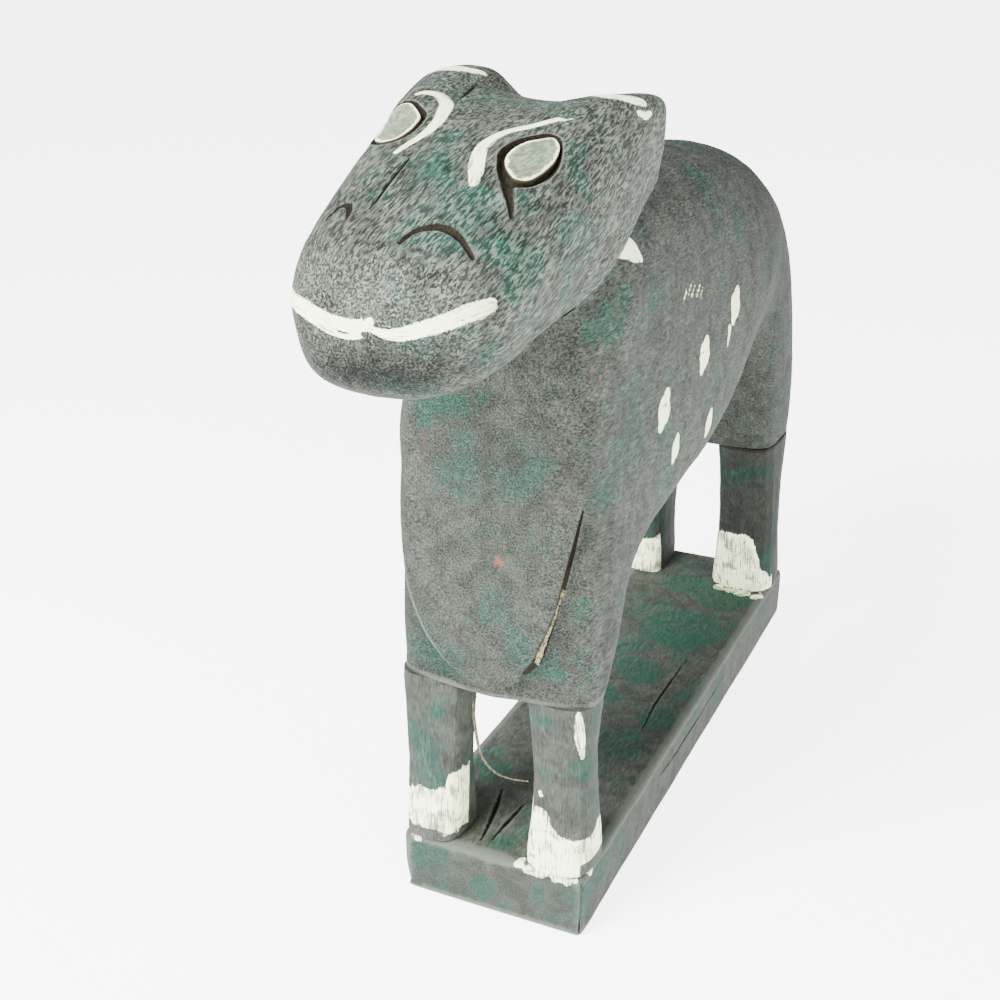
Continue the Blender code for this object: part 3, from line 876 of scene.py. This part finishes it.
def shape_eye(name, node, eye, finish, skin):
    """A pale leaf-shaped eye that follows the head, with its edge going down into the gouged ring."""
    tree = BVHTree.FromPolygons([v.co for v in skin.vertices], [p.vertices for p in skin.polygons])
    outline = eye.leaf[:-1]
    middle = outline.mean(0)

    def on_skin(flat, lift):
        p = eye.centre + eye.a * flat[0] + eye.b * flat[1]
        hit = tree.ray_cast(Vector((p + eye.n * 14) * MM), Vector(-eye.n))[0]
        return (np.array(hit) / MM if hit else p) + eye.n * lift

    # Rings from the middle outwards as (size, height over the skin): a low dome, then the edge turning down
    levels = [(k / EYE_RINGS, 0.30 * (1 - (k / EYE_RINGS) ** 2.4) + 0.1) for k in range(1, EYE_RINGS + 1)]
    levels += [(1.02, -0.15), (1.035, -0.55), (1.03, -1.3), (1.0, -2.8)]
    bm = bmesh.new()
    top = bm.verts.new(Vector(on_skin(middle, 0.40)) * MM)
    rings = []
    for size, lift in levels:
        ring = np.array([on_skin(spot, lift) for spot in middle + (outline - middle) * min(size, 1.0)])
        grown = (outline - middle) * max(size - 1.0, 0)
        ring = ring + grown[:, :1] * eye.a + grown[:, 1:] * eye.b
        wobble = 0.10 * noise(ring, 2.4, 91) + 0.05 * noise(ring, 0.9, 92)
        rings.append([bm.verts.new(Vector(p) * MM) for p in ring + wobble[:, None] * eye.n])
    for k in range(len(outline)):
        bm.faces.new((top, rings[0][k], rings[0][(k + 1) % len(outline)]))
    join_rings(bm, rings)
    bm.faces.new(list(reversed(rings[-1])))
    mesh = mesh_of(bm, name)
    store(mesh, "rim", eye.measure(points_of(mesh))[0])
    put_in_place(mesh, name, node, finish)


def shape_filler(finish):
    """The putty pressed into the crack, with an uneven face."""
    size, rounds = EVEN["filler"]
    mesh = voxel_mesh(nodes["crack_filler"].data.copy(), size)
    relax(mesh, rounds)
    points = points_of(mesh)
    push(mesh, 0.35 * noise(points, 2.2, 61) + 0.2 * noise(points, 0.9, 62) + 0.15)
    put_in_place(mesh, "crack_filler_putty", "crack_filler", finish)


def hang_splinter(finish):
    path = curve_through(SPLINTER, 1.0)
    turns = [2 * math.pi * i / 8 for i in range(8)]
    bm = bmesh.new()
    rings = []
    for k, p in enumerate(path):
        ahead = path[min(k + 1, len(path) - 1)] - path[max(k - 1, 0)]
        ahead /= np.linalg.norm(ahead)
        side = np.cross(ahead, (0.3, -0.9, 0.1))
        side /= np.linalg.norm(side)
        other = 0.6 * np.cross(ahead, side)
        radius = 0.75 * (1 - 0.6 * (k / len(path)) ** 2)
        ring = [p + radius * (side * math.cos(t) + other * math.sin(t)) for t in turns]
        rings.append([bm.verts.new(Vector(q) * MM) for q in ring])
    join_rings(bm, rings)
    bm.faces.new(rings[0])
    bm.faces.new(rings[-1])
    put_in_place(mesh_of(bm, "splinter"), "splinter", None, finish)


# --- finishes ------------------------------------------------------------------------------


class Tree:
    """Short forms for building a node tree."""

    def __init__(self, name):
        self.material = bpy.data.materials.new(name)
        self.material.use_nodes = True
        self.nodes = self.material.node_tree.nodes
        self.links = self.material.node_tree.links
        self.shader = self.nodes["Principled BSDF"]
        self.shader.inputs["Specular IOR Level"].default_value = 0.08
        self.object_point = self.nodes.new("ShaderNodeTexCoord").outputs["Object"]

    def link(self, value, socket):
        if isinstance(value, bpy.types.NodeSocket):
            self.links.new(value, socket)
        else:
            socket.default_value = value

    def math(self, operation, a, b=0.0):
        node = self.nodes.new("ShaderNodeMath")
        node.operation = operation
        self.link(a, node.inputs[0])
        self.link(b, node.inputs[1])
        return node.outputs[0]

    def add(self, a, b):
        return self.math("ADD", a, b)

    def times(self, a, b):
        return self.math("MULTIPLY", a, b)

    def spread(self, value, amount):
        """A 0 to 1 pattern as a swing about nought."""
        return self.times(self.add(value, -0.5), amount)

    def ramp(self, value, low, high, to_low=0.0, to_high=1.0):
        node = self.nodes.new("ShaderNodeMapRange")
        node.interpolation_type = "SMOOTHSTEP"
        self.link(value, node.inputs["Value"])
        for key, number in (("From Min", low), ("From Max", high), ("To Min", to_low), ("To Max", to_high)):
            node.inputs[key].default_value = number
        return node.outputs["Result"]

    def mix(self, factor, a, b, blend="MIX"):
        node = self.nodes.new("ShaderNodeMix")
        node.data_type = "RGBA"
        node.blend_type = blend
        self.link(factor, node.inputs[0])
        for value, socket in ((a, node.inputs[6]), (b, node.inputs[7])):
            self.link((*value, 1) if isinstance(value, tuple) else value, socket)
        return node.outputs[2]

    def grey(self, value):
        return self.combine(value, value, value)

    def attribute(self, name):
        node = self.nodes.new("ShaderNodeAttribute")
        node.attribute_name = name
        return node.outputs["Fac"]

    def place(self, scale, turn=(0, 0, 0), offset=(0, 0, 0)):
        """Object position in millimetres, turned and then scaled."""
        turned = self.nodes.new("ShaderNodeMapping")
        turned.inputs["Rotation"].default_value = turn
        turned.inputs["Scale"].default_value = (1000, 1000, 1000)
        self.links.new(self.object_point, turned.inputs["Vector"])
        scaled = self.nodes.new("ShaderNodeMapping")
        scaled.inputs["Scale"].default_value = scale
        scaled.inputs["Location"].default_value = offset
        self.links.new(turned.outputs[0], scaled.inputs["Vector"])
        return scaled.outputs[0]

    def noise(self, vector, detail=3.0, rough=0.55, distort=0.0):
        node = self.nodes.new("ShaderNodeTexNoise")
        node.inputs["Scale"].default_value = 1
        node.inputs["Detail"].default_value = detail
        node.inputs["Roughness"].default_value = rough
        node.inputs["Distortion"].default_value = distort
        self.links.new(vector, node.inputs["Vector"])
        return node.outputs["Fac"]

    def combine(self, x, y, z=0.0):
        node = self.nodes.new("ShaderNodeCombineXYZ")
        for socket, value in zip(node.inputs, (x, y, z)):
            self.link(value, socket)
        return node.outputs[0]

    def bump(self, height, strength, distance):
        node = self.nodes.new("ShaderNodeBump")
        node.inputs["Strength"].default_value = strength
        node.inputs["Distance"].default_value = distance * MM
        self.links.new(height, node.inputs["Height"])
        self.links.new(node.outputs[0], self.shader.inputs["Normal"])


def fibre(axis, fine, stretch=0.2):
    """Stretches a pattern along the grain's axis."""
    scale = [fine, fine, fine]
    scale[axis] = fine * stretch
    return tuple(scale)


def undercoat(t, mid, cloud, blotch, teal):
    """Grey and green paint in clouds, with greener patches."""
    grey = t.mix(t.ramp(blotch, 0.35, 0.65), (0.056, 0.064, 0.053), (0.086, 0.096, 0.080))
    green = t.mix(t.ramp(mid, 0.35, 0.65), (0.030, 0.072, 0.055), (0.050, 0.104, 0.080))
    leaning = t.add(cloud, t.spread(blotch, 0.5))
    base = t.mix(t.ramp(leaning, 0.66 - 0.28 * teal, 0.84 - 0.28 * teal), grey, green)
    patch = t.add(t.attribute("green"), t.add(t.spread(blotch, 14), t.spread(mid, 5)))
    return t.mix(t.times(t.ramp(patch, -1.5, 2.2), 0.62), base, (0.016, 0.088, 0.056))


def dragged(t, base, drag, mid, blotch, contrast):
    """Pale paint dragged over the grain, and dark pores between."""
    where = t.ramp(t.add(mid, t.spread(blotch, 0.5)), 0.36, 0.66, 0.2, 1.0)
    pale = t.times(t.ramp(drag, 0.52, 0.52 + 0.10 / contrast), where)
    base = t.mix(t.times(pale, min(0.42 * contrast, 0.8)), base, (0.22, 0.25, 0.205))
    pores = t.times(t.ramp(drag, 0.48, 0.48 - 0.08 / contrast), t.ramp(blotch, 0.3, 0.6, 1.0, 0.65))
    return t.mix(t.times(pores, min(0.85 * contrast, 0.95)), base, (0.010, 0.014, 0.011))


def aged(t, base, grit, blotch, seed, level):
    """Brown stains, orange specks, lighter and darker parts with painted light and shade among them, pale
    arrises with painted highlights along some edges, and painted shade in the gouged hollows.
    """
    stain = t.noise(t.place((0.07, 0.07, 0.07), offset=(seed + 9, 3, 5)), 5, 0.6, 0.5)
    base = t.mix(t.times(t.ramp(stain, 0.60, 0.72), 0.35), base, (0.088, 0.066, 0.056))
    speck = t.add(t.attribute("speck"), t.add(t.spread(grit, 3.5), t.spread(blotch, 5)))
    base = t.mix(t.times(t.ramp(speck, -0.4, 1.2), 0.55), base, (0.33, 0.135, 0.075))
    # Painted light and shade, together with the paint's own lighter and darker parts, scale the colour here
    shade = t.math("MAXIMUM", t.times(t.add(t.attribute("painted_light_and_tone"), 1.0), level), 0.08)
    base = t.mix(1.0, base, t.grey(shade), "MULTIPLY")
    # Pale arrises: rubbed paint, with the painted highlights of the pale lines added in
    arris_and_highlight = t.ramp(t.add(t.attribute("wear_and_highlight"), t.spread(grit, 0.10)), 0.05, 0.24)
    base = t.mix(t.times(arris_and_highlight, 0.5), base, (0.125, 0.138, 0.115))
    # Painted shade, near black to dark brown, in the gouged hollows and cracks, which also colours the dark
    # glue line at the hind joints
    hollow_shade_and_glue_line = t.ramp(t.add(grit, t.spread(blotch, 0.4)), 0.42, 0.62)
    hollow_shade_and_glue_line = t.mix(hollow_shade_and_glue_line, (0.005, 0.006, 0.004), (0.022, 0.015, 0.008))
    return t.mix(t.ramp(t.add(t.attribute("dark"), t.spread(grit, 0.3)), 0.3, 0.62), base, hollow_shade_and_glue_line)


def brushwork(t, fine, grit, blotch):
    """(cover, colour, bristle marks) of the cream strokes, which break up at their edges."""
    inside = t.attribute("cream")
    along, across = t.attribute("cream_u"), t.attribute("cream_v")
    bristle = t.noise(t.combine(t.times(along, 0.10), t.times(across, 1.5)), 3, 0.65)
    ragged = t.add(t.spread(grit, 1.5), t.spread(bristle, 1.6))
    cover = t.ramp(t.add(inside, ragged), -0.05, 0.30)
    gaps = t.times(t.ramp(t.add(bristle, t.spread(fine, 0.6)), 0.40, 0.30), t.ramp(inside, 3.4, 0.5))
    cover = t.times(cover, t.math("SUBTRACT", 1.0, t.times(gaps, 0.8)))
    rubbed = t.ramp(t.add(t.add(bristle, t.spread(grit, 0.5)), t.spread(blotch, 0.9)), 0.50, 0.36)
    cover = t.times(cover, t.math("SUBTRACT", 1.0, t.times(t.times(rubbed, t.attribute("thin")), 0.75)))
    streaks = t.ramp(t.add(bristle, t.spread(blotch, 0.6)), 0.33, 0.55)
    return cover, t.mix(streaks, (0.66, 0.74, 0.40), (0.91, 1.0, 0.66)), bristle


def painted_wood(name, axis, turn, seed, contrast, teal, level):
    """Green and grey paint rubbed back over wood grained along an axis, with cream brushwork on top."""
    t = Tree(name)
    off = (seed, seed * 1.7, seed * 0.6)
    fine = t.noise(t.place(fibre(axis, 1.45), turn, off), 2.0, 0.5, 0.3)
    mid = t.noise(t.place(fibre(axis, 0.42), turn, off), 3, 0.6, 0.3)
    grit = t.noise(t.place((1.9, 1.9, 1.9), offset=off), 2, 0.6)
    cloud = t.noise(t.place((0.035, 0.035, 0.035), offset=off), 4, 0.55, 0.4)
    blotch = t.noise(t.place((0.11, 0.11, 0.11), offset=off), 4, 0.6, 0.6)
    drag = t.add(fine, t.spread(grit, 0.3))

    base = undercoat(t, mid, cloud, blotch, teal)
    base = dragged(t, base, drag, mid, blotch, contrast)
    base = aged(t, base, grit, blotch, seed, level)
    cover, cream, bristle = brushwork(t, fine, grit, blotch)
    t.links.new(t.mix(cover, base, cream), t.shader.inputs["Base Color"])
    t.links.new(t.add(0.64, t.times(fine, 0.22)), t.shader.inputs["Roughness"])
    t.bump(t.add(drag, t.times(cover, t.add(0.9, t.times(bristle, 0.8)))), 0.6, 0.24)
    return t.material


def eye_paint():
    t = Tree("eye_paint")
    rim = t.attribute("rim")
    fine = t.noise(t.place((1.0, 0.3, 1.0), (0, 0, 0.35)), 3, 0.6)
    grit = t.noise(t.place((1.5, 1.5, 1.5)), 3, 0.6)
    blotch = t.noise(t.place((0.35, 0.35, 0.35)), 3, 0.6)
    patchy = t.ramp(t.add(fine, t.spread(blotch, 0.5)), 0.40, 0.62)
    pale = t.mix(patchy, (0.10, 0.13, 0.09), (0.20, 0.24, 0.17))
    edge = t.add(rim, t.add(t.spread(grit, 1.3), t.spread(blotch, 2.6)))
    colour = t.mix(t.ramp(edge, 1.0, 0.45), pale, (0.88, 0.90, 0.62))
    # Painted shade, dark brown, where the eye's edge goes down into the gouged ring
    colour = t.mix(t.ramp(rim, 0.06, -0.22), colour, (0.035, 0.028, 0.016))
    t.links.new(colour, t.shader.inputs["Base Color"])
    t.shader.inputs["Roughness"].default_value = 0.62
    t.bump(t.add(fine, grit), 0.4, 0.15)
    return t.material


def plain_wood(name, dark, light, scale, rough):
    t = Tree(name)
    grain = t.noise(t.place(scale), 3, 0.62)
    t.links.new(t.mix(t.ramp(grain, 0.38, 0.62), dark, light), t.shader.inputs["Base Color"])
    t.shader.inputs["Roughness"].default_value = rough
    t.bump(grain, 0.5, 0.2)
    return t.material


# --- setting -------------------------------------------------------------------------------


def place_camera():
    turn, rise = math.radians(24.854), math.radians(23.14)
    back = Vector((math.sin(turn) * math.cos(rise), -math.cos(turn) * math.cos(rise), math.sin(rise)))
    right = Vector((math.cos(turn), math.sin(turn), 0))
    up = back.cross(right)
    data = bpy.data.cameras.new("camera")
    data.sensor_width = 36
    data.lens = 50.4
    camera = bpy.data.objects.new("camera", data)
    bpy.context.scene.collection.objects.link(camera)
    spot = right * -0.06141 + up * 0.11441 + back * 0.70655
    camera.matrix_world = Matrix.Translation(spot) @ Matrix((right, up, back)).transposed().to_4x4()
    bpy.context.scene.camera = camera


def area_light(name, spot, target, size, power):
    data = bpy.data.lights.new(name, "AREA")
    data.shape = "DISK"
    data.size = size
    data.energy = power
    light = bpy.data.objects.new(name, data)
    bpy.context.scene.collection.objects.link(light)
    light.location = spot
    light.rotation_euler = (Vector(target) - Vector(spot)).to_track_quat("-Z", "Y").to_euler()


def studio():
    world = bpy.data.worlds.new("studio")
    bpy.context.scene.world = world
    world.use_nodes = True
    world.node_tree.nodes["Background"].inputs["Color"].default_value = (1, 1, 1, 1)
    world.node_tree.nodes["Background"].inputs["Strength"].default_value = 1.05
    area_light("key", (-0.45, -1.05, 1.05), (0, -0.1, 0.18), 0.7, 72)
    area_light("fill", (1.2, -0.7, 0.8), (0, -0.05, 0.15), 0.9, 14)
    bpy.ops.mesh.primitive_plane_add(size=60, location=(0, 0, 0))
    floor = bpy.context.active_object
    floor.name = "floor"
    paper = bpy.data.materials.new("paper")
    paper.use_nodes = True
    shader = paper.node_tree.nodes["Principled BSDF"]
    shader.inputs["Base Color"].default_value = (0.96, 0.96, 0.96, 1)
    shader.inputs["Roughness"].default_value = 0.9
    shader.inputs["Emission Color"].default_value = (1, 1, 1, 1)
    shader.inputs["Emission Strength"].default_value = 4.5
    floor.data.materials.append(paper)


def ahead_of(y):
    return lambda p: p[:, 1] < y


def left_foot_faces(p):
    """The front of the left front foot, and its outer side but for the part next to the plinth."""
    return (p[:, 1] < -136) & ((p[:, 0] < 38) | (p[:, 2] > 34))


# Each leg: (joint, tone, which for the hind legs is a painted shadow, top edge of its foot's cream paint as
# (x, height), lower edge, seed, faces, strokes)
LEGS = {
    "front_left_leg": (
        FRONT, 0.05, [(14, 62), (19, 57), (25, 54), (30, 48), (36, 46), (41, 47)], 28, 3,
        left_foot_faces, LEG_STROKES,
    ),
    "front_right_leg": (
        FRONT, 0.05, [(-42, 52), (-30, 54), (-20.5, 53), (-19, 60), (-14, 61)], 34, 5, ahead_of(-143), (),
    ),
    "hind_left_leg": (
        HIND, -0.48, [(5, 58), (12, 60), (24, 62), (30, 58), (33, 50), (36, 42), (42, 34)], 28, 7,
        ahead_of(130), (),
    ),
    "hind_right_leg": (
        HIND, -0.45, [(-42, 44), (-35, 47), (-27, 52), (-20, 52)], 28, 9, ahead_of(124), (),
    ),
}

place_camera()
studio()

head_turn = (math.radians(-24), 0, math.radians(8))
head_paint = painted_wood("head_paint", 1, head_turn, 0.0, 2.1, 0.6, 0.70)
torso_paint = painted_wood("torso_paint", 1, (0, 0, 0), 40.0, 1.0, 0.50, 0.52)
leg_paint = painted_wood("leg_paint", 2, (0, 0, 0), 80.0, 0.6, 0.62, 0.54)
plinth_paint = painted_wood("plinth_paint", 1, (0, 0, 0), 120.0, 0.6, 0.58, 0.50)

head_skin = carve_head(head_paint)
carve_torso(torso_paint)
for name, (joint, painted_light_and_tone, top, bottom, seed, faces, strokes) in LEGS.items():
    carve_leg(name, leg_paint, joint, painted_light_and_tone, foot_paint(top, bottom, seed, faces), strokes)
carve_plinth(plinth_paint)
pale = eye_paint()
shape_eye("left_eye_leaf", "left_eye", LEFT_EYE, pale, head_skin)
shape_eye("right_eye_leaf", "right_eye", RIGHT_EYE, pale, head_skin)
shape_filler(plain_wood("pale_filler", (0.035, 0.030, 0.016), (0.23, 0.22, 0.125), (1.3, 1.3, 1.3), 0.85))

bare = plain_wood("bare_dowel_wood", (0.30, 0.19, 0.10), (0.46, 0.32, 0.19), (0.8, 0.8, 0.06), 0.75)
hang_splinter(plain_wood("splinter_wood", (0.07, 0.05, 0.035), (0.20, 0.17, 0.13), (1.2, 1.2, 0.3), 0.8))
for name, node in nodes.items():
    if "dowel" in name:
        node.data.materials.clear()
        node.data.materials.append(bare)
